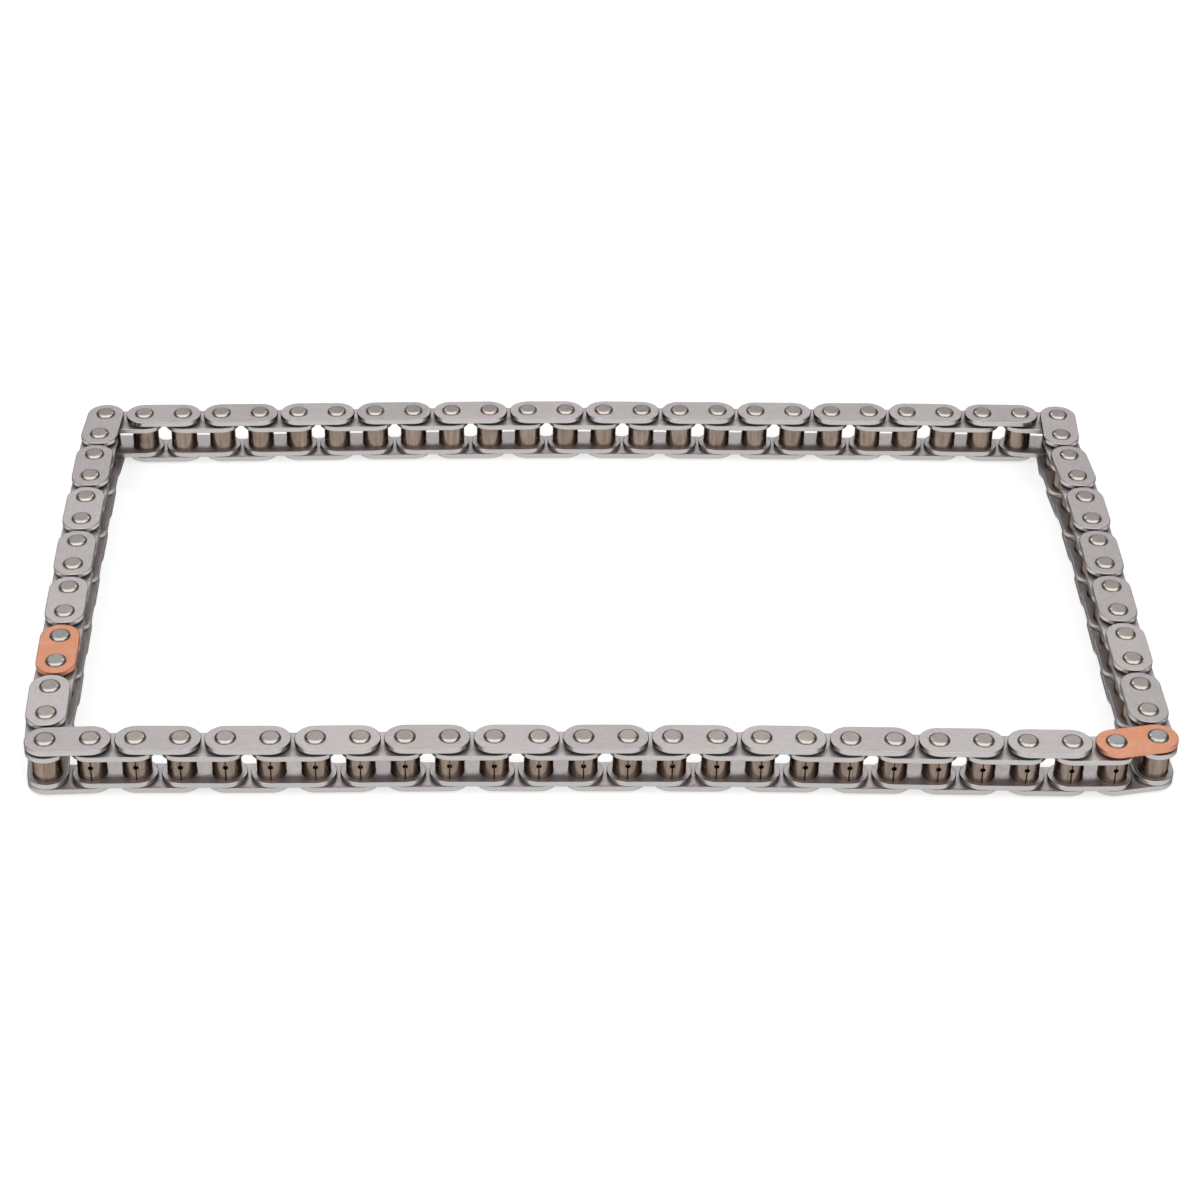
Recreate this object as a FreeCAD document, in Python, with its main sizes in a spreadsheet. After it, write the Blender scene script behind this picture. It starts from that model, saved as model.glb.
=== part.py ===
"""Endless bush timing chain, lying on its side: 78 links, two of them with a copper-coloured timing mark."""
import FreeCAD, Part
import math
import os
import Sketcher

# Origin: middle of the loop in plan, on the face the lower pin ends rest on.
# X runs along the two long sides, Z along the pins.

SIZES = [
    ("pitch", 9.525, "distance between neighbouring pins"),
    ("plateThick", 1.27, "thickness of all four plates of a link"),
    ("plateWidth", 8.86, "width of a plate, and twice the radius of its ends"),
    ("innerWidth", 5.72, "clear width between the inner plates"),
    ("lowPlay", 0.06, "gap under the inner links, which rest on the lower outer plates"),
    ("topPlay", 0.60, "gap above the inner links: the end play of the pins"),
    ("pinDia", 4.45, "pin shank"),
    ("headDia", 4.66, "riveted pin end"),
    ("headProud", 0.65, "how far a pin end stands out of the plate"),
    ("headChamfer", 0.46, "chamfer round a pin end"),
    ("headFlare", 0.12, "height over which the riveted end widens"),
    ("pressGap", 0.015, "gap drawn at every press fit"),
    ("bushDia", 6.35, "outside of a bush"),
    ("bushBore", 4.57, "bore of a bush"),
    ("bushShort", 0.04, "how much a bush falls short of the outer faces of its plates"),
    ("seamWidth", 0.10, "butt seam along a bush"),
    ("oilHole", 1.05, "oil hole in the seam"),
    ("oilRise", 0.45, "height of the oil hole above the middle of the bush"),
    ("openWaist", 4.21, "shank of the one pin whose joint closes the loop"),
]

# Heading of each link in degrees away from its side of the loop, in pitches of one.
# The links are counted counter-clockwise from the front left corner.
FRONT = [2.295, 0.895, -0.305, -0.505, -0.105, 0.095, 0.595, 0.595, 0.195, -0.305, -0.505, -0.105, -0.305,
         -0.605, -0.905, -1.005, -1.605, -1.805, -1.605, -1.705, -1.505, -1.805, -1.305, 0.195, 10.796]
RIGHT = [2.204, 0.004, -0.096, -0.596, 0.004, -0.896, -0.696, -0.596, -0.596, 0.004, 1.504, 3.404, 2.404,
         -3.996]
REAR = [-4.594, -1.095, -1.195, -1.195, -0.495, -0.395, -0.595, -0.795, -0.795, -0.595, -0.495, -0.595,
        -0.095, 0.305, 0.505, 1.005, 0.905, 1.405, 1.505, 1.405, 1.505, 1.405, 1.205, 1.005, 0.405]
LEFT = [-3.804, -1.104, -0.204, -0.304, -0.204, 0.196, 0.396, 0.696, 0.496, 0.496, 0.896, -1.204, 1.696,
        4.896]

# Pins at which the two links are kept in one sub-part.
PAIRED = [*range(4, 20, 2), 31, 33, *range(43, 59, 2), 70, 72]
# Outer links whose upper plate carries the timing mark, and the pin whose joint closes the loop.
MARKED = (24, 74)
OPEN_PIN = 52

doc = FreeCAD.newDocument("TimingChain")
sheet = doc.addObject("Spreadsheet::Sheet", "Dims")
for row, (alias, value, meaning) in enumerate(SIZES, start=1):
    sheet.set("A%d" % row, meaning)
    sheet.set("B%d" % row, "%g" % value)
    sheet.setAlias("B%d" % row, alias)
doc.recompute()

PLATE_Z = {
    "lower_outer": "Dims.headProud",
    "lower_inner": "Dims.headProud + Dims.plateThick + Dims.lowPlay",
    "upper_inner": "Dims.headProud + 2 * Dims.plateThick + Dims.lowPlay + Dims.innerWidth",
    "upper_outer": "Dims.headProud + 3 * Dims.plateThick + Dims.lowPlay + Dims.innerWidth + Dims.topPlay",
}
PIN_LENGTH = "(2 * Dims.headProud + 4 * Dims.plateThick + Dims.lowPlay + Dims.innerWidth + Dims.topPlay)"
BUSH_LENGTH = "(Dims.innerWidth + 2 * Dims.plateThick - Dims.bushShort)"


def vec(x, y, z=0.0):
    return FreeCAD.Vector(x, y, z)


def new_sketch(body, name, role):
    """A sketch on one of the body's own origin planes."""
    sketch = body.newObject("Sketcher::SketchObject", name)
    plane = [f for f in body.Origin.OriginFeatures if f.Role == role][0]
    sketch.AttachmentSupport = [(plane, "")]
    sketch.MapMode = "FlatFace"
    return sketch


def add_bound(sketch, expression, *args):
    """A dimension bound to the sheet."""
    index = sketch.addConstraint(Sketcher.Constraint(*args))
    sketch.setExpression("Constraints[%d]" % index, expression)


def add_circle(sketch, expression):
    """A circle round the sketch's origin, its diameter bound to the sheet."""
    circle = sketch.addGeometry(Part.Circle(vec(0, 0), vec(0, 0, 1), 2.0))
    sketch.addConstraint(Sketcher.Constraint("Coincident", circle, 3, -1, 1))
    add_bound(sketch, expression, "Diameter", circle, 4.0)


def make_plate(name, hole, height):
    """A straight-sided plate with round ends and two holes one pitch apart."""
    body = doc.addObject("PartDesign::Body", name)
    sketch = new_sketch(body, name + "_outline", "XY_Plane")
    p, r = 4.7, 4.4
    turn = math.pi / 2
    top = sketch.addGeometry(Part.LineSegment(vec(p, r), vec(-p, r)))
    circle = Part.Circle(vec(-p, 0), vec(0, 0, 1), r)
    left = sketch.addGeometry(Part.ArcOfCircle(circle, turn, 3 * turn))
    low = sketch.addGeometry(Part.LineSegment(vec(-p, -r), vec(p, -r)))
    circle = Part.Circle(vec(p, 0), vec(0, 0, 1), r)
    right = sketch.addGeometry(Part.ArcOfCircle(circle, -turn, turn))
    holes = []
    for x, arc in ((-p, left), (p, right)):
        drawn = sketch.addGeometry(Part.Circle(vec(x, 0), vec(0, 0, 1), 2.0))
        sketch.addConstraint(Sketcher.Constraint("Coincident", drawn, 3, arc, 3))
        holes.append(drawn)
    sketch.addConstraint(Sketcher.Constraint("Tangent", top, 2, left, 1))
    sketch.addConstraint(Sketcher.Constraint("Tangent", left, 2, low, 1))
    sketch.addConstraint(Sketcher.Constraint("Tangent", low, 2, right, 1))
    sketch.addConstraint(Sketcher.Constraint("Tangent", right, 2, top, 1))
    sketch.addConstraint(Sketcher.Constraint("Equal", left, right))
    sketch.addConstraint(Sketcher.Constraint("Equal", holes[0], holes[1]))
    sketch.addConstraint(Sketcher.Constraint("Symmetric", left, 3, right, 3, -1, 1))
    sketch.addConstraint(Sketcher.Constraint("PointOnObject", right, 3, -1))
    add_bound(sketch, "Dims.pitch", "DistanceX", left, 3, right, 3, 2 * p)
    add_bound(sketch, "Dims.plateWidth / 2", "Radius", right, r)
    add_bound(sketch, hole, "Diameter", holes[0], 4.0)
    pad = body.newObject("PartDesign::Pad", name + "_blank")
    pad.Profile = sketch
    pad.setExpression("Length", "Dims.plateThick")
    body.setExpression("Placement.Base.z", height)
    return body


def make_pin(name, x, waist=None):
    """A straight pin with a riveted, chamfered end on both sides."""
    body = doc.addObject("PartDesign::Body", name)
    length = PIN_LENGTH
    head = "Dims.headDia / 2"
    shank = "Dims.pinDia / 2"
    flare_end = "(Dims.headProud - Dims.pressGap)"
    flare_start = "(Dims.headProud - Dims.pressGap - Dims.headFlare)"
    profile = [
        (None, None),
        (head + " - Dims.headChamfer", "0"),
        (head, "Dims.headChamfer"),
        (head, flare_start),
        (shank, flare_end),
    ]
    if waist:
        start = "(Dims.headProud + Dims.plateThick)"
        profile += [(shank, start), (waist, start)]
        profile += [(waist, "%s - %s" % (length, start)), (shank, "%s - %s" % (length, start))]
    profile += [
        (shank, "%s - %s" % (length, flare_end)),
        (head, "%s - %s" % (length, flare_start)),
        (head, length + " - Dims.headChamfer"),
        (head + " - Dims.headChamfer", length),
        (None, length),
    ]
    sketch = new_sketch(body, name + "_profile", "XZ_Plane")
    points = []
    for across, along in profile:
        px = value_of(across) if across else 0.0
        pz = value_of(along) if along else 0.0
        points.append(vec(px, pz))
    count = len(points)
    lines = []
    for i in range(count):
        lines.append(sketch.addGeometry(Part.LineSegment(points[i], points[(i + 1) % count])))
    for i in range(count):
        sketch.addConstraint(Sketcher.Constraint("Coincident", lines[i - 1], 2, lines[i], 1))
    for i, (across, along) in enumerate(profile):
        if across is None:
            sketch.addConstraint(Sketcher.Constraint("PointOnObject", lines[i], 1, -2))
        else:
            add_bound(sketch, across, "DistanceX", -1, 1, lines[i], 1, points[i].x)
        if along is None or along == "0":
            sketch.addConstraint(Sketcher.Constraint("PointOnObject", lines[i], 1, -1))
        else:
            add_bound(sketch, along, "DistanceY", -1, 1, lines[i], 1, points[i].y)
    turned = body.newObject("PartDesign::Revolution", name + "_turned")
    turned.Profile = sketch
    turned.ReferenceAxis = (sketch, ["V_Axis"])
    turned.Angle = 360.0
    body.setExpression("Placement.Base.x", x)
    return body


def make_bush(name, x):
    """A curled bush with its butt seam and oil hole on the side that faces out of the loop."""
    body = doc.addObject("PartDesign::Body", name)
    ring = new_sketch(body, name + "_ring", "XY_Plane")
    add_circle(ring, "Dims.bushDia")
    add_circle(ring, "Dims.bushBore")
    tube = body.newObject("PartDesign::Pad", name + "_tube")
    tube.Profile = ring
    tube.setExpression("Length", BUSH_LENGTH)
    slit = new_sketch(body, name + "_slit", "XZ_Plane")
    side = 0.05
    tall = value_of(BUSH_LENGTH)
    corners = [vec(-side, -1), vec(side, -1), vec(side, tall + 1), vec(-side, tall + 1)]
    lines = []
    for i in range(4):
        lines.append(slit.addGeometry(Part.LineSegment(corners[i], corners[(i + 1) % 4])))
    for i in range(4):
        slit.addConstraint(Sketcher.Constraint("Coincident", lines[i - 1], 2, lines[i], 1))
    slit.addConstraint(Sketcher.Constraint("Symmetric", lines[0], 1, lines[0], 2, -2))
    slit.addConstraint(Sketcher.Constraint("Vertical", lines[1]))
    slit.addConstraint(Sketcher.Constraint("Horizontal", lines[2]))
    slit.addConstraint(Sketcher.Constraint("Vertical", lines[3]))
    slit.addConstraint(Sketcher.Constraint("DistanceY", lines[0], 1, -1, 1, 1.0))
    add_bound(slit, "Dims.seamWidth", "DistanceX", lines[0], 1, lines[0], 2, 2 * side)
    add_bound(slit, BUSH_LENGTH + " + 2", "DistanceY", lines[1], 1, lines[1], 2, tall + 2)
    seam = body.newObject("PartDesign::Pocket", name + "_seam")
    seam.Profile = slit
    seam.setExpression("Length", "Dims.bushDia")
    seam.Reversed = True
    oil = new_sketch(body, name + "_oil", "XZ_Plane")
    drawn = oil.addGeometry(Part.Circle(vec(0, tall / 2), vec(0, 0, 1), 0.5))
    oil.addConstraint(Sketcher.Constraint("PointOnObject", drawn, 3, -2))
    add_bound(oil, BUSH_LENGTH + " / 2 + Dims.oilRise", "DistanceY", -1, 1, drawn, 3, tall / 2)
    add_bound(oil, "Dims.oilHole", "Diameter", drawn, 1.0)
    bore = body.newObject("PartDesign::Pocket", name + "_oil_hole")
    bore.Profile = oil
    bore.setExpression("Length", "Dims.bushDia")
    bore.Reversed = True
    body.setExpression("Placement.Base.x", x)
    body.setExpression("Placement.Base.z", PLATE_Z["lower_inner"] + " + Dims.bushShort / 2")
    return body


def value_of(expression):
    """The number an expression over the sheet gives."""
    text = expression
    for alias, value, meaning in sorted(SIZES, key=lambda item: -len(item[0])):
        text = text.replace("Dims." + alias, repr(float(sheet.get(alias))))
    probe = FreeCAD.Units.Quantity(text)
    return float(probe.Value)


# The pieces of one link, each drawn once in the link's own frame.
PIN_HOLE = "Dims.pinDia + 2 * Dims.pressGap"
BUSH_HOLE = "Dims.bushDia + 2 * Dims.pressGap"
FIRST = "-Dims.pitch / 2"
SECOND = "Dims.pitch / 2"
lower_outer = make_plate("lower_outer_plate", PIN_HOLE, PLATE_Z["lower_outer"])
upper_outer = make_plate("upper_outer_plate", PIN_HOLE, PLATE_Z["upper_outer"])
lower_inner = make_plate("lower_inner_plate", BUSH_HOLE, PLATE_Z["lower_inner"])
upper_inner = make_plate("upper_inner_plate", BUSH_HOLE, PLATE_Z["upper_inner"])
first_pin = make_pin("first_pin", FIRST)
second_pin = make_pin("second_pin", SECOND)
slim_pin = make_pin("slim_pin", FIRST, "Dims.openWaist / 2")
first_bush = make_bush("first_bush", FIRST)
second_bush = make_bush("second_bush", SECOND)
doc.recompute()

# Where each pin of the loop stands, and how each link is turned.
pitch = float(sheet.get("pitch"))
headings = []
for quarter, side in enumerate((FRONT, RIGHT, REAR, LEFT)):
    headings += [90.0 * quarter + away for away in side]
pins = [(0.0, 0.0)]
for heading in headings:
    x, y = pins[-1]
    angle = math.radians(heading)
    pins.append((x + pitch * math.cos(angle), y + pitch * math.sin(angle)))
pins = pins[:-1]
middle_x = (min(x for x, y in pins) + max(x for x, y in pins)) / 2
middle_y = (min(y for x, y in pins) + max(y for x, y in pins)) / 2


def link_place(k):
    """Placement of link k: its middle, turned to its heading."""
    x0, y0 = pins[k]
    x1, y1 = pins[(k + 1) % len(pins)]
    middle = vec((x0 + x1) / 2 - middle_x, (y0 + y1) / 2 - middle_y)
    return FreeCAD.Placement(middle, FreeCAD.Rotation(vec(0, 0, 1), headings[k]))


def pieces_of(k):
    """The pieces that link k holds."""
    if k % 2:
        return [lower_inner, upper_inner, first_bush, second_bush]
    first = slim_pin if k == OPEN_PIN else first_pin
    pieces = [lower_outer, first, second_pin]
    if k not in MARKED:
        pieces.append(upper_outer)
    return pieces


def add_group(label, members, placement):
    """A sub-part of separate solids that move as one."""
    group = doc.addObject("Part::Compound", label)
    group.Label = label
    group.Links = members
    group.Placement = placement
    return group


subparts = []
k = 0
while k < len(headings):
    if k + 1 in PAIRED:
        label = "link_pair_%02d_%02d" % (k + 1, k + 2)
        base = link_place(k)
        here = add_group("half_%02d" % (k + 1), pieces_of(k), FreeCAD.Placement())
        ahead = add_group("half_%02d" % (k + 2), pieces_of(k + 1), base.inverse() * link_place(k + 1))
        subparts.append(add_group(label, [here, ahead], base))
        k += 2
        continue
    kind = "inner_link_%02d" if k % 2 else "outer_link_%02d"
    subparts.append(add_group(kind % (k + 1), pieces_of(k), link_place(k)))
    k += 1

for number, k in enumerate(MARKED, start=1):
    label = "marked_plate_%d" % number
    plate = make_plate(label, PIN_HOLE, PLATE_Z["upper_outer"])
    placement = link_place(k)
    plate.Placement.Rotation = placement.Rotation
    plate.setExpression("Placement.Base.x", "%.9f" % placement.Base.x)
    plate.setExpression("Placement.Base.y", "%.9f" % placement.Base.y)
    subparts.append(plate)

doc.recompute()
for item in doc.Objects:
    for state in item.State:
        if state in ("Invalid", "Error"):
            raise RuntimeError("%s failed: %s" % (item.Label, item.State))
names = [item.Label for item in subparts]
if len(set(names)) != len(names) or len(names) > 60:
    raise RuntimeError("sub-part names clash or are too many: %d" % len(names))
for item in subparts:
    if item.Shape.isNull() or not item.Shape.isValid():
        raise RuntimeError("%s has no valid shape" % item.Label)

os.makedirs("parts", exist_ok=True)
for item in subparts:
    item.Shape.exportStep(os.path.join("parts", item.Label + ".step"))
print("%d sub-parts, %d solids" % (len(subparts), sum(len(item.Shape.Solids) for item in subparts)))
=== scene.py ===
"""Looks of an endless bush timing chain that lies on its side on a white ground."""

import math
import random

import bpy
from mathutils import Matrix, Vector
from mathutils.geometry import tessellate_polygon


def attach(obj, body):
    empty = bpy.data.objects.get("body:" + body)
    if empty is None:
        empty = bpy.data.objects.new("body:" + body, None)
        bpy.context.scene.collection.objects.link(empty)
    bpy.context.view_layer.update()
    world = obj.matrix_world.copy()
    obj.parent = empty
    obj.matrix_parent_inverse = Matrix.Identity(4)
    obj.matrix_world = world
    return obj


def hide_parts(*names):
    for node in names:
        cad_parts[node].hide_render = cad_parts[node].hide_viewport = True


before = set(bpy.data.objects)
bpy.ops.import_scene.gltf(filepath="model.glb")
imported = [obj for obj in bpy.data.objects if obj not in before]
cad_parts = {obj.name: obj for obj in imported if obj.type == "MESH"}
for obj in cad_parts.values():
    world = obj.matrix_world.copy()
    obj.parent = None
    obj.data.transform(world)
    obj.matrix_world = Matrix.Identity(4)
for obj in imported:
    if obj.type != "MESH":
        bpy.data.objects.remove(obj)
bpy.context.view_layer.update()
MM = 0.001

# Sizes of the pieces in millimetres, as in the CAD model.
PITCH = 9.525
PLATE_THICK = 1.27
PLATE_WIDTH = 8.86
INNER_WIDTH = 5.72
LOW_PLAY = 0.06
TOP_PLAY = 0.60
PIN_DIA = 4.45
HEAD_DIA = 4.66
HEAD_PROUD = 0.65
# The bevel of a pin end, from its flat top down to its side: length of each step and its slope in degrees.
HEAD_BEVEL = [(0.28, 20), (0.20, 30), (0.16, 38), (0.12, 48), (0.10, 60), (0.09, 74)]
HEAD_FLARE = 0.03
PRESS_GAP = 0.015
BUSH_DIA = 6.35
BUSH_BORE = 4.57
BUSH_SHORT = 0.04
SEAM_WIDTH = 0.07
OIL_HOLE = 1.05
OIL_RISE = 0.45
OPEN_WAIST = 4.21

# Sizes that only the looks have, in millimetres: the rounding of the plates' rims and holes, and how far the
# light colour of a pin's bevel, partly rubbed wear and partly a painted highlight, takes to set in.
RIM_ROUND = 0.22
HOLE_ROUND = 0.07
WEAR_AND_HIGHLIGHT_REACH = 0.3

# How many flats stand for a full circle, a plate's round end, a rounded edge and the side of an oil hole.
PIN_FLATS = 32
HOLE_FLATS = 28
PLATE_END_FLATS = 18
EDGE_FLATS = 4
OIL_HOLE_FLATS = 10

# Bush points on the way round, as shares of it: close together near the seam, even in between.
NEAR_SEAM = [0, 0.012, 0.035, 0.075]
EVEN_START = 0.12
EVEN_FLATS = 30
ROWS_PAST_HOLE = 3

# Heading of each link in degrees away from its side of the loop, as read from the photograph.
FRONT = [2.295, 0.895, -0.305, -0.505, -0.105, 0.095, 0.595, 0.595, 0.195, -0.305, -0.505, -0.105, -0.305,
         -0.605, -0.905, -1.005, -1.605, -1.805, -1.605, -1.705, -1.505, -1.805, -1.305, 0.195, 10.796]
RIGHT = [2.204, 0.004, -0.096, -0.596, 0.004, -0.896, -0.696, -0.596, -0.596, 0.004, 1.504, 3.404, 2.404,
         -3.996]
REAR = [-4.594, -1.095, -1.195, -1.195, -0.495, -0.395, -0.595, -0.795, -0.795, -0.595, -0.495, -0.595,
        -0.095, 0.305, 0.505, 1.005, 0.905, 1.405, 1.505, 1.405, 1.505, 1.405, 1.205, 1.005, 0.405]
LEFT = [-3.804, -1.104, -0.204, -0.304, -0.204, 0.196, 0.396, 0.696, 0.496, 0.496, 0.896, -1.204, 1.696,
        4.896]
# First link of each pair that shares a body, counted from 1. The links with a copper-coloured plate and the
# pin where the loop is open, counted from 0.
PAIRED = [*range(4, 20, 2), 31, 33, *range(43, 59, 2), 70, 72]
MARKED = (24, 74)
OPEN_PIN = 52

HEIGHT = 2 * HEAD_PROUD + 4 * PLATE_THICK + LOW_PLAY + INNER_WIDTH + TOP_PLAY
LOWER_OUTER = HEAD_PROUD
LOWER_INNER = LOWER_OUTER + PLATE_THICK + LOW_PLAY
UPPER_INNER = LOWER_INNER + PLATE_THICK + INNER_WIDTH
UPPER_OUTER = UPPER_INNER + PLATE_THICK + TOP_PLAY
BUSH_LENGTH = INNER_WIDTH + 2 * PLATE_THICK - BUSH_SHORT


# Shapes.

class Shape:
    """Points, faces, corner normals and how far each point lies on a rounded rim."""

    def __init__(self):
        self.points = []
        self.rim = []
        self.faces = []
        self.normals = []
        self.index = {}

    def point(self, x, y, z, rim=0.0):
        """The number of the point at this place, which is made where there is none yet."""
        key = (round(x, 5), round(y, 5), round(z, 5))
        if key not in self.index:
            self.index[key] = len(self.points)
            self.points.append((x, y, z))
            self.rim.append(rim)
        return self.index[key]

    def face(self, corners, normals):
        """Adds a face, dropping corners that fall together."""
        kept = []
        for corner, normal in zip(corners, normals):
            if corner not in [c for c, n in kept]:
                kept.append((corner, normal))
        if len(kept) > 2:
            self.faces.append([c for c, n in kept])
            self.normals.append([n for c, n in kept])


def steps(start, end, count):
    """Evenly spaced numbers from start to end, both included."""
    return [start + (end - start) * i / count for i in range(count + 1)]


def turned(profile, around, wear_and_highlight):
    """A turned shape. The profile is a list of strips, each two (radius, height, slope of the normal). The
    last argument tells from a point's radius how much of the bevel's light colour it takes, partly rubbed
    wear and partly a painted highlight."""
    shape = Shape()
    angles = [2 * math.pi * i / around for i in range(around + 1)]
    for (r0, z0, s0), (r1, z1, s1) in profile:
        for a, b in zip(angles, angles[1:]):
            corners = []
            normals = []
            for r, z, slope, angle in ((r0, z0, s0, a), (r0, z0, s0, b), (r1, z1, s1, b), (r1, z1, s1, a)):
                corners.append(shape.point(r * math.cos(angle), r * math.sin(angle), z, wear_and_highlight(r)))
                flat = math.cos(slope)
                normals.append((flat * math.cos(angle), flat * math.sin(angle), math.sin(slope)))
            shape.face(corners, normals)
    return shape


def pin_shape(waist=None):
    """A pin with riveted ends that round over to a flat top. The waist is a slimmer shank's radius."""
    head = HEAD_DIA / 2
    shank = PIN_DIA / 2
    down = -math.pi / 2
    flare_end = HEAD_PROUD - PRESS_GAP
    flare_start = flare_end - HEAD_FLARE
    slope = math.atan2(head - shank, HEAD_FLARE)
    slopes = [0.0] + [math.radians(step) for length, step in HEAD_BEVEL] + [math.pi / 2]
    top = head - sum(length * math.cos(math.radians(step)) for length, step in HEAD_BEVEL)
    r, z = top, 0.0
    curve = [(r, z, down + slopes[1] / 2)]
    for i, (length, step) in enumerate(HEAD_BEVEL, start=1):
        r += length * math.cos(slopes[i])
        z += length * math.sin(slopes[i])
        curve.append((r, z, down + (slopes[i] + slopes[i + 1]) / 2))
    half = [((0, 0, down), (top, 0, down))]
    half += list(zip(curve, curve[1:]))
    half.append(((r, z, 0), (head, flare_start, 0)))
    half.append(((head, flare_start, slope), (shank, flare_end, slope)))
    if waist:
        start = LOWER_OUTER + PLATE_THICK
        half.append(((shank, flare_end, 0), (shank, start, 0)))
        half.append(((shank, start, -down), (waist, start, -down)))
        half.append(((waist, start, 0), (waist, HEIGHT / 2, 0)))
    else:
        half.append(((shank, flare_end, 0), (shank, HEIGHT / 2, 0)))
    other = []
    for (r0, z0, s0), (r1, z1, s1) in reversed(half):
        other.append(((r1, HEIGHT - z1, -s1), (r0, HEIGHT - z0, -s0)))
    return turned(half + other, PIN_FLATS, lambda r: min(1.0, max(0.0, r - top) / WEAR_AND_HIGHLIGHT_REACH))


def plate_shape(hole_dia):
    """A straight-sided plate with round ends, two holes and rounded edges."""
    shape = Shape()
    radius = PLATE_WIDTH / 2
    outline = []
    for side, first in ((1, -90), (-1, 90)):
        for turn in steps(0, 180, PLATE_END_FLATS):
            angle = math.radians(first + turn)
            n = (math.cos(angle), math.sin(angle))
            outline.append((side * PITCH / 2 + radius * n[0], radius * n[1], n))
    loops = [(outline, RIM_ROUND)]
    for side in (-1, 1):
        hole = []
        for i in range(HOLE_FLATS):
            angle = -2 * math.pi * i / HOLE_FLATS
            n = (-math.cos(angle), -math.sin(angle))
            hole.append((side * PITCH / 2 - hole_dia / 2 * n[0], -hole_dia / 2 * n[1], n))
        loops.append((hole, HOLE_ROUND))
    quarter = math.pi / 2
    for loop, rounding in loops:
        levels = [(a, 1) for a in steps(0, quarter, EDGE_FLATS)]
        levels += [(a, -1) for a in steps(quarter, 0, EDGE_FLATS)]
        rings = []
        for a, up in levels:
            inward = rounding * (1 - math.sin(a))
            drop = rounding * (1 - math.cos(a))
            z = PLATE_THICK - drop if up > 0 else drop
            ring = []
            for x, y, n in loop:
                on_rim = math.sin(a) if rounding == RIM_ROUND else 0.0
                corner = shape.point(x - inward * n[0], y - inward * n[1], z, on_rim)
                ring.append((corner, (n[0] * math.sin(a), n[1] * math.sin(a), up * math.cos(a))))
            rings.append(ring)
        for upper, lower in zip(rings, rings[1:]):
            for i in range(len(loop)):
                j = (i + 1) % len(loop)
                quad = (upper[i], lower[i], lower[j], upper[j])
                shape.face([c for c, n in quad], [n for c, n in quad])
    for up in (1, -1):
        z = PLATE_THICK if up > 0 else 0.0
        border = []
        for loop, rounding in loops:
            border.append([Vector((x - rounding * n[0], y - rounding * n[1], z)) for x, y, n in loop])
        flat = [p for ring in border for p in ring]
        for triangle in tessellate_polygon(border):
            a, b, c = (flat[i] for i in triangle)
            if (b - a).cross(c - a).z * up < 0:
                b, c = c, b
            shape.face([shape.point(*p) for p in (a, b, c)], [(0, 0, up)] * 3)
    return shape


def bush_shape():
    """A curled bush: a sheet bent round to a butt seam, with an oil hole across the seam."""
    shape = Shape()
    outer = BUSH_DIA / 2
    bore = BUSH_BORE / 2
    hole = OIL_HOLE / 2
    middle = BUSH_LENGTH / 2 + OIL_RISE
    heights = steps(0, middle - hole, ROWS_PAST_HOLE)[:-1]
    heights += [middle - hole * math.cos(a) for a in steps(0, math.pi, OIL_HOLE_FLATS)]
    heights += steps(middle + hole, BUSH_LENGTH, ROWS_PAST_HOLE)[1:]
    shares = NEAR_SEAM + steps(EVEN_START, 1 - EVEN_START, EVEN_FLATS)
    shares += [1 - share for share in reversed(NEAR_SEAM)]
    rows = []
    for z in heights:
        reach = math.sqrt(max(0.0, hole ** 2 - (z - middle) ** 2))
        start = max(SEAM_WIDTH / 2, reach) / outer
        row = []
        for share in shares:
            angle = -math.pi / 2 + start + (2 * math.pi - 2 * start) * share
            n = (math.cos(angle), math.sin(angle), 0.0)
            outside = shape.point(outer * n[0], outer * n[1], z)
            inside = shape.point(bore * n[0], bore * n[1], z)
            row.append((n, outside, inside))
        rows.append(row)
    for low, high in zip(rows, rows[1:]):
        for i in range(len(shares) - 1):
            j = i + 1
            face = (low[i], low[j], high[j], high[i])
            shape.face([p[1] for p in face], [p[0] for p in face])
            face = (low[j], low[i], high[i], high[j])
            shape.face([p[2] for p in face], [(-p[0][0], -p[0][1], 0.0) for p in face])
        for end, turn in ((0, -1), (-1, 1)):
            n = low[end][0]
            side = (-turn * n[1], turn * n[0], 0.0)
            corners = [low[end][1], high[end][1], high[end][2], low[end][2]]
            if turn > 0:
                corners.reverse()
            shape.face(corners[::-1], [side] * 4)
    for row, up in ((rows[0], -1), (rows[-1], 1)):
        for a, b in zip(row, row[1:]):
            corners = [a[1], b[1], b[2], a[2]]
            if up < 0:
                corners.reverse()
            shape.face(corners, [(0, 0, up)] * 4)
    return shape


# Materials.

# Noise that mottles the steel, with its scale in waves to the millimetre.
FINE_NOISE = {"Scale": 1.7, "Detail": 6.0, "Roughness": 0.68}
COARSE_NOISE = {"Scale": 0.28, "Detail": 3.0, "Roughness": 0.5}
GRAIN_NOISE = {"Scale": 11.0, "Detail": 3.0, "Roughness": 0.7}
# The range of each noise that makes warm blotches, lighter and darker spots, and smoother and rougher spots.
BLOTCH_RANGE = (0.46, 0.72)
MOTTLE_RANGE = (0.25, 0.75)
ROUGH_RANGE = (0.3, 0.7)
GRAIN_HEIGHT = 0.02 * MM
# How bright the steel's reflection stays where it is seen edge-on.
EDGE_ON_TINT = 0.2


def node(tree, kind, *terms, settings=None, **named):
    """A new node. Its inputs get fixed values or other nodes' outputs, in order or by name."""
    made = tree.nodes.new(kind)
    for name, value in (settings or {}).items():
        setattr(made, name, value)
    fed = list(zip(made.inputs, terms))
    fed += [(made.inputs[name.replace("_", " ")], term) for name, term in named.items()]
    for socket, term in fed:
        if isinstance(term, bpy.types.NodeSocket):
            tree.links.new(term, socket)
        else:
            socket.default_value = term
    return made


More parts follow.
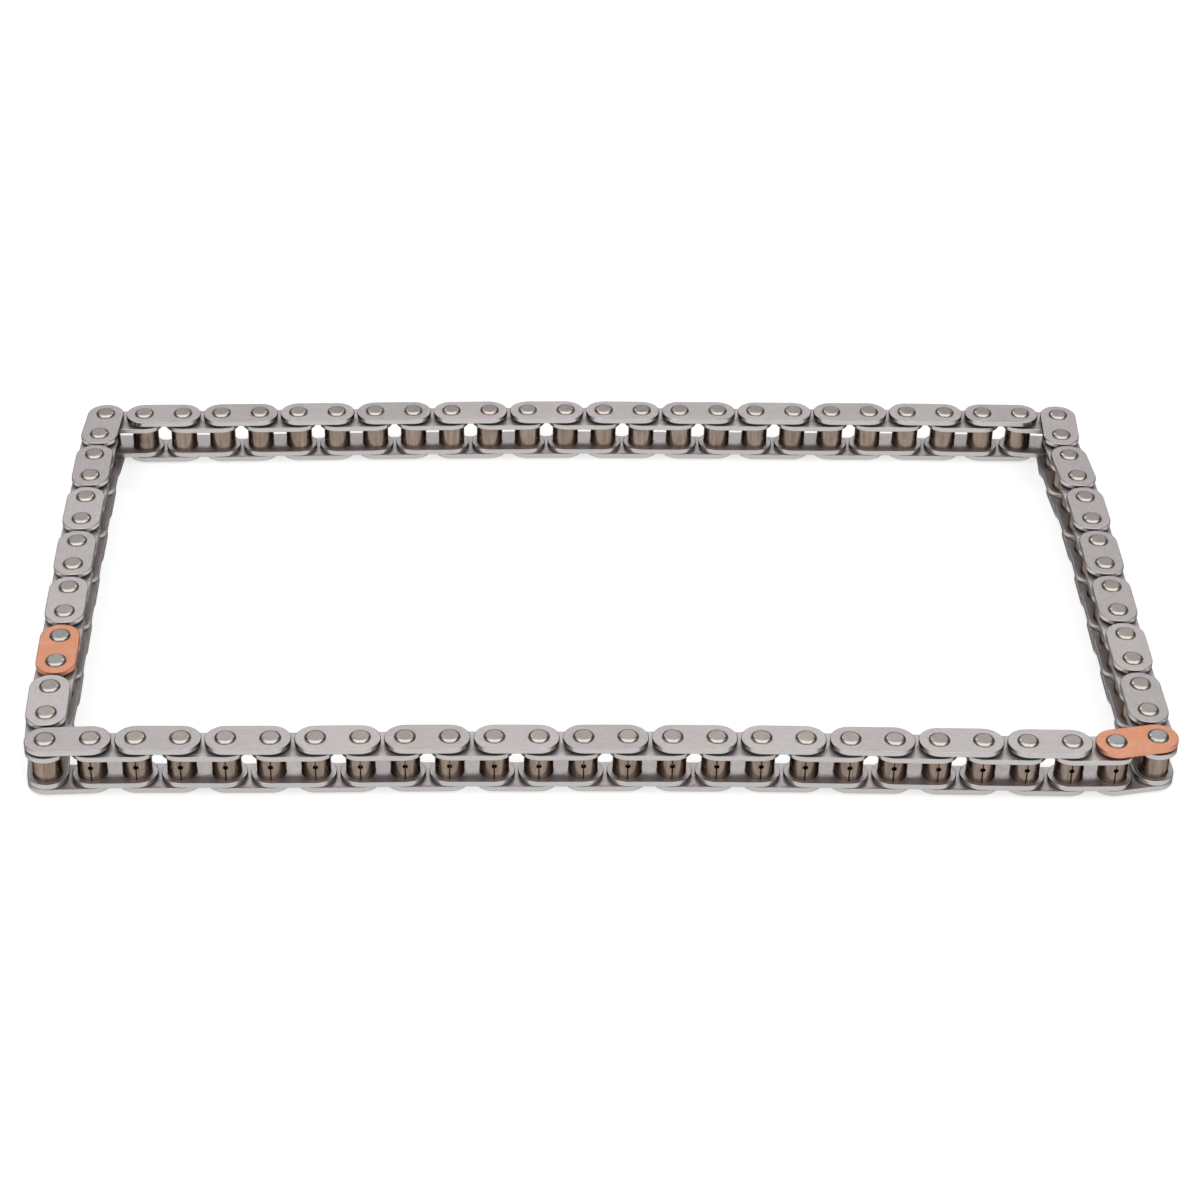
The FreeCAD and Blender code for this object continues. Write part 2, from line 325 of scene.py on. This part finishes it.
def carried(tree, name, output):
    """What the mesh carries at each point under a name."""
    return node(tree, "ShaderNodeAttribute", settings={"attribute_name": name}).outputs[output]


def maths(tree, operation, *terms):
    """One step of arithmetic."""
    return node(tree, "ShaderNodeMath", *terms, settings={"operation": operation}).outputs["Value"]


def ranged(tree, value, start, end, low, high, how="LINEAR"):
    """A value between start and end turned into one between low and high."""
    limits = {"From_Min": start, "From_Max": end, "To_Min": low, "To_Max": high}
    made = node(tree, "ShaderNodeMapRange", settings={"interpolation_type": how}, Value=value, **limits)
    return made.outputs["Result"]


def mixed(tree, kind, share, first, second):
    """A mix of two colours, kind RGBA, or of two numbers, kind FLOAT."""
    made = node(tree, "ShaderNodeMix", settings={"data_type": kind}, Factor=share, A=first, B=second)
    return made.outputs["Result"]


def steel(name, colour, warm, rough, rough_spread, mottling, bump, rim_wear_and_highlight_colour=None, rim_rough=None,
          streak=(1.0, 1.0, 1.0)):
    """Tumbled steel: mottling, warm blotches, an edge colour that is partly rubbed wear and partly a painted
    highlight, and darker where it is seen edge-on.
    """
    material = bpy.data.materials.new(name)
    material.use_nodes = True
    tree = material.node_tree
    place = carried(tree, "place", "Vector")
    streaked = node(tree, "ShaderNodeVectorMath", place, streak, settings={"operation": "MULTIPLY"})
    fine = node(tree, "ShaderNodeTexNoise", Vector=streaked.outputs["Vector"], **FINE_NOISE).outputs["Fac"]
    coarse = node(tree, "ShaderNodeTexNoise", Vector=place, **COARSE_NOISE).outputs["Fac"]
    grain = node(tree, "ShaderNodeTexNoise", Vector=streaked.outputs["Vector"], **GRAIN_NOISE).outputs["Fac"]

    blotch = ranged(tree, coarse, *BLOTCH_RANGE, 0.0, 1.0)
    base = mixed(tree, "RGBA", blotch, (*colour, 1), (*warm, 1))
    bright = ranged(tree, fine, *MOTTLE_RANGE, 1.0 - mottling, 1.0 + mottling)
    with_tone = maths(tree, "ADD", bright, carried(tree, "tone", "Fac"))
    shade = node(tree, "ShaderNodeVectorMath", base, settings={"operation": "SCALE"}, Scale=with_tone)
    shown = shade.outputs["Vector"]
    gloss = ranged(tree, fine, *ROUGH_RANGE, rough - rough_spread, rough + rough_spread)
    # The rim colour is partly rubbed wear and partly a painted highlight where it is lighter than the steel.
    if rim_wear_and_highlight_colour:
        rim = carried(tree, "rim", "Fac")
        shown = mixed(tree, "RGBA", rim, shown, (*rim_wear_and_highlight_colour, 1))
        gloss = mixed(tree, "FLOAT", rim, gloss, rim_rough)
    bumped = node(tree, "ShaderNodeBump", Strength=bump, Distance=GRAIN_HEIGHT, Height=grain)

    shader = tree.nodes["Principled BSDF"]
    shader.inputs["Metallic"].default_value = 1.0
    shader.inputs["Specular Tint"].default_value = (EDGE_ON_TINT, EDGE_ON_TINT, EDGE_ON_TINT, 1)
    tree.links.new(shown, shader.inputs["Base Color"])
    tree.links.new(gloss, shader.inputs["Roughness"])
    tree.links.new(bumped.outputs["Normal"], shader.inputs["Normal"])
    return material


PLATE = steel("plate_steel", colour=(0.505, 0.473, 0.477), warm=(0.535, 0.480, 0.462), rough=0.49,
              rough_spread=0.04, mottling=0.14, bump=0.35, rim_wear_and_highlight_colour=(0.50, 0.482, 0.47), rim_rough=0.2,
              streak=(0.35, 1.0, 1.0))
# The pins' rim colours, much lighter than their steel, are partly rubbed wear and partly a painted highlight
# for the bright crescent on each bevel.
PIN = steel("pin_steel", colour=(0.344, 0.309, 0.294), warm=(0.317, 0.284, 0.269), rough=0.42,
            rough_spread=0.03, mottling=0.12, bump=0.25, rim_wear_and_highlight_colour=(0.58, 0.535, 0.475), rim_rough=0.25)
BLUED_PIN = steel("blued_pin_steel", colour=(0.316, 0.304, 0.304), warm=(0.303, 0.292, 0.290), rough=0.42,
                  rough_spread=0.03, mottling=0.12, bump=0.25, rim_wear_and_highlight_colour=(0.50, 0.50, 0.49), rim_rough=0.25)
# The bushes' dark, warm colour is partly the steel's own tint and partly painted shade, standing in for the
# shaded ground their sides mirror.
BUSH = steel("bush_steel", colour=(0.275, 0.215, 0.175), warm=(0.225, 0.165, 0.13), rough=0.18,
             rough_spread=0.04, mottling=0.4, bump=0.06, streak=(1.0, 1.0, 0.06))
COPPER = steel("copper_mark", colour=(0.645, 0.300, 0.188), warm=(0.67, 0.34, 0.238), rough=0.47,
               rough_spread=0.05, mottling=0.14, bump=0.35)
MATERIALS = [PLATE, PIN, BUSH, BLUED_PIN]
PLATE_SLOT, PIN_SLOT, BUSH_SLOT, BLUED_PIN_SLOT = range(len(MATERIALS))


# The chain.

# How much lighter or darker one piece may be than the next, and how far the mottling shifts along and across,
# in millimetres, from one link to the next and, as a share of that, from one piece of a link to the next.
TINT = 0.07
PATTERN_SHIFT = (31.7, 17.3)
PIECE_SHIFT = 0.21
SEED = 7

OUTER_PLATE = plate_shape(PIN_DIA + 2 * PRESS_GAP)
INNER_PLATE = plate_shape(BUSH_DIA + 2 * PRESS_GAP)
PIN_SHAPE = pin_shape()
SLIM_PIN = pin_shape(OPEN_WAIST / 2)
BUSH_SHAPE = bush_shape()

headings = []
for quarter, side in enumerate((FRONT, RIGHT, REAR, LEFT)):
    headings += [90.0 * quarter + away for away in side]
pins = [(0.0, 0.0)]
for heading in headings:
    x, y = pins[-1]
    angle = math.radians(heading)
    pins.append((x + PITCH * math.cos(angle), y + PITCH * math.sin(angle)))
pins = pins[:-1]
shift_x = (min(x for x, y in pins) + max(x for x, y in pins)) / 2
shift_y = (min(y for x, y in pins) + max(y for x, y in pins)) / 2
pins = [(x - shift_x, y - shift_y) for x, y in pins]

draw = random.Random(SEED)


def link_matrix(k):
    """Link k's own frame: its middle, turned to its heading, in millimetres."""
    x0, y0 = pins[k]
    x1, y1 = pins[(k + 1) % len(pins)]
    middle = Matrix.Translation(((x0 + x1) / 2, (y0 + y1) / 2, 0))
    return middle @ Matrix.Rotation(math.radians(headings[k]), 4, "Z")


def contents(k):
    """(shape, place in the link, material index) of each piece of link k."""
    half = PITCH / 2
    if k % 2:
        return [
            (INNER_PLATE, (0, 0, LOWER_INNER), PLATE_SLOT),
            (INNER_PLATE, (0, 0, UPPER_INNER), PLATE_SLOT),
            (BUSH_SHAPE, (-half, 0, LOWER_INNER + BUSH_SHORT / 2), BUSH_SLOT),
            (BUSH_SHAPE, (half, 0, LOWER_INNER + BUSH_SHORT / 2), BUSH_SLOT),
        ]
    first = SLIM_PIN if k == OPEN_PIN else PIN_SHAPE
    pin_slot = BLUED_PIN_SLOT if k in MARKED else PIN_SLOT
    pieces = [
        (OUTER_PLATE, (0, 0, LOWER_OUTER), PLATE_SLOT),
        (first, (-half, 0, 0), pin_slot),
        (PIN_SHAPE, (half, 0, 0), pin_slot),
    ]
    if k not in MARKED:
        pieces.append((OUTER_PLATE, (0, 0, UPPER_OUTER), PLATE_SLOT))
    return pieces


def build(name, parts, materials):
    """One mesh of placed shapes. Each part is (shape, placement, place in the link, pattern shift, tint,
    material index)."""
    points, faces, normals, slots = [], [], [], []
    place, tone, rim = [], [], []
    for shape, matrix, local, shift, tint, slot in parts:
        start = len(points)
        turn = matrix.to_3x3()
        for x, y, z in shape.points:
            inside = Vector((x + local[0], y + local[1], z + local[2]))
            points.append(matrix @ inside * MM)
            place.extend((inside.x + PATTERN_SHIFT[0] * shift, inside.y + PATTERN_SHIFT[1] * shift, inside.z))
        rim.extend(shape.rim)
        tone.extend([tint] * len(shape.points))
        for face, corner_normals in zip(shape.faces, shape.normals):
            faces.append([start + i for i in face])
            slots.append(slot)
            normals.extend(turn @ Vector(n) for n in corner_normals)
    mesh = bpy.data.meshes.new(name)
    mesh.from_pydata(points, [], faces)
    for material in materials:
        mesh.materials.append(material)
    mesh.polygons.foreach_set("material_index", slots)
    mesh.polygons.foreach_set("use_smooth", [True] * len(faces))
    mesh.normals_split_custom_set(normals)
    mesh.attributes.new("place", "FLOAT_VECTOR", "POINT").data.foreach_set("vector", place)
    mesh.attributes.new("tone", "FLOAT", "POINT").data.foreach_set("value", tone)
    mesh.attributes.new("rim", "FLOAT", "POINT").data.foreach_set("value", rim)
    made = bpy.data.objects.new(name, mesh)
    bpy.context.scene.collection.objects.link(made)
    return made


def placed(k, pieces):
    """The pieces of link k as parts for one mesh, each with its own tint."""
    matrix = link_matrix(k)
    parts = []
    for number, (shape, local, slot) in enumerate(pieces):
        tint = draw.uniform(-TINT, TINT)
        parts.append((shape, matrix, local, k + PIECE_SHIFT * number, tint, slot))
    return parts


k = 0
while k < len(headings):
    if k + 1 in PAIRED:
        body = "link_pair_%02d_%02d" % (k + 1, k + 2)
        parts = placed(k, contents(k)) + placed(k + 1, contents(k + 1))
        k += 2
    else:
        body = ("inner_link_%02d" if k % 2 else "outer_link_%02d") % (k + 1)
        parts = placed(k, contents(k))
        k += 1
    piece = build(body + "_look", parts, MATERIALS)
    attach(piece, body)
    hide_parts(body)

# The copper-coloured plates, each a mesh of its own with one material.
for number, k in enumerate(MARKED, start=1):
    parts = placed(k, [(OUTER_PLATE, (0, 0, UPPER_OUTER), 0)])
    piece = build("marked_plate_%d_look" % number, parts, [COPPER])
    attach(piece, "outer_link_%02d" % (k + 1))
    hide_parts("marked_plate_%d" % number)


# Camera, fitted to the pin ends in the photograph: focal length in the photograph's pixels, distance and the
# first pin's place in pitches from the point looked at. It sees what lies between the two metres of SIGHT.

LENS_PX = 3000.4
PHOTO_PX = 1200
SENSOR_MM = 36.0
SIGHT = (0.01, 50.0)
ELEVATION = math.radians(34.6417)
DISTANCE = 71.5794
ROLL = math.radians(1.5476)
YAW = math.radians(2.8399)
FIRST_PIN = Vector((-12.2648, -5.9479, 0.0))

forward = Vector((0, math.cos(ELEVATION), -math.sin(ELEVATION)))
right = Vector((1, 0, 0))
up = right.cross(forward)
cam_x = math.cos(ROLL) * right + math.sin(ROLL) * up
cam_y = -math.sin(ROLL) * right + math.cos(ROLL) * up
spin = Matrix.Rotation(-YAW, 3, "Z")
spot = spin @ (-forward * DISTANCE - FIRST_PIN) * PITCH + Vector((*pins[0], HEIGHT))
axes = Matrix((spin @ cam_x, spin @ cam_y, spin @ -forward)).transposed()
lens = bpy.data.cameras.new("camera")
lens.sensor_width = SENSOR_MM
lens.lens = LENS_PX / PHOTO_PX * SENSOR_MM
lens.clip_start, lens.clip_end = SIGHT
camera = bpy.data.objects.new("camera", lens)
bpy.context.scene.collection.objects.link(camera)
camera.matrix_world = Matrix.Translation(spot * MM) @ axes.to_4x4()
bpy.context.scene.camera = camera


# Ground: half its width in metres, its grey in the light, and how much it is lifted to white where seen.

FLOOR_HALF = 6.0
FLOOR_GREY = 0.5
FLOOR_LIFT = 0.66
FLOOR_ROUGH = 0.9

corners = [(FLOOR_HALF * x, FLOOR_HALF * y, 0) for x, y in ((-1, -1), (1, -1), (1, 1), (-1, 1))]
floor_mesh = bpy.data.meshes.new("floor")
floor_mesh.from_pydata(corners, [], [(0, 1, 2, 3)])
floor = bpy.data.objects.new("floor", floor_mesh)
bpy.context.scene.collection.objects.link(floor)
paint = bpy.data.materials.new("floor_white")
paint.use_nodes = True
ground = paint.node_tree
rays = ground.nodes.new("ShaderNodeLightPath").outputs
seen = rays["Is Camera Ray"]
for kind in ("Is Glossy Ray", "Is Transmission Ray"):
    seen = maths(ground, "MAXIMUM", seen, rays[kind])
surface = ground.nodes["Principled BSDF"].inputs
surface["Base Color"].default_value = (FLOOR_GREY, FLOOR_GREY, FLOOR_GREY, 1)
surface["Roughness"].default_value = FLOOR_ROUGH
surface["Specular IOR Level"].default_value = 0.0
surface["Emission Color"].default_value = (1, 1, 1, 1)
ground.links.new(maths(ground, "MULTIPLY", seen, FLOOR_LIFT), surface["Emission Strength"])
floor_mesh.materials.append(paint)


# Light from all round, in bands that run from side to side: the degrees behind straight up between which each
# sets in, and how bright it is from there on. The sides and the spot behind the camera stay dim.
FRONT_LIGHT = 1.0
BANDS = [(-55, -45, 1.5), (15, 25, 0.1), (47.5, 50.5, 0.15)]
# The bright strip behind the chain: the degrees between which it sets in and those between which it ends,
# and the reach to each side between which it fades.
STRIP_LIGHT = 6.0
STRIP_IN = (39.5, 42.5)
STRIP_OUT = (47.5, 50.5)
STRIP_REACH = (0.3, 0.5)
# The reach to each side between which all light fades, and what is left there.
SIDE_REACH = (0.6, 0.8)
SIDE_LIGHT = 0.05
# The dark spot behind the camera: degrees from its middle where it sets in and where it is full, and what
# light is left there.
LENS_SPOT = (13, 8)
LENS_LIGHT = 0.06

world = bpy.data.worlds.new("studio")
bpy.context.scene.world = world
world.use_nodes = True
sky = world.node_tree
direction = sky.nodes.new("ShaderNodeTexCoord").outputs["Generated"]
split = node(sky, "ShaderNodeSeparateXYZ", direction).outputs


def fade(value, start, end, low, high):
    """A soft step of the light from low at start to high at end."""
    return ranged(sky, value, start, end, low, high, how="SMOOTHSTEP")


def fade_over(light, share, level):
    """The light where share is 0 and the level where it is 1."""
    kept = maths(sky, "MULTIPLY", maths(sky, "SUBTRACT", 1.0, share), light)
    return maths(sky, "ADD", kept, maths(sky, "MULTIPLY", share, level))


tilt = maths(sky, "ARCTAN2", split["Y"], split["Z"])
across = maths(sky, "ABSOLUTE", split["X"])
light = FRONT_LIGHT
for start, end, level in BANDS:
    light = fade_over(light, fade(tilt, math.radians(start), math.radians(end), 0.0, 1.0), level)
strip = fade(tilt, *map(math.radians, STRIP_IN), 0.0, STRIP_LIGHT)
strip = maths(sky, "MULTIPLY", strip, fade(tilt, *map(math.radians, STRIP_OUT), 1.0, 0.0))
strip = maths(sky, "MULTIPLY", strip, fade(across, *STRIP_REACH, 1.0, 0.0))
light = maths(sky, "ADD", light, strip)
light = fade_over(light, fade(across, *SIDE_REACH, 0.0, 1.0), SIDE_LIGHT)
lens_way = (camera.matrix_world.translation - Vector((0, 0, HEIGHT * MM))).normalized()
lens_side = node(sky, "ShaderNodeVectorMath", direction, lens_way, settings={"operation": "DOT_PRODUCT"})
rim, full = (math.cos(math.radians(angle)) for angle in LENS_SPOT)
light = maths(sky, "MULTIPLY", light, fade(lens_side.outputs["Value"], rim, full, 1.0, LENS_LIGHT))
background = sky.nodes["Background"].inputs
background["Color"].default_value = (1, 1, 1, 1)
sky.links.new(light, background["Strength"])


bpy.context.scene.view_settings.view_transform = "Standard"
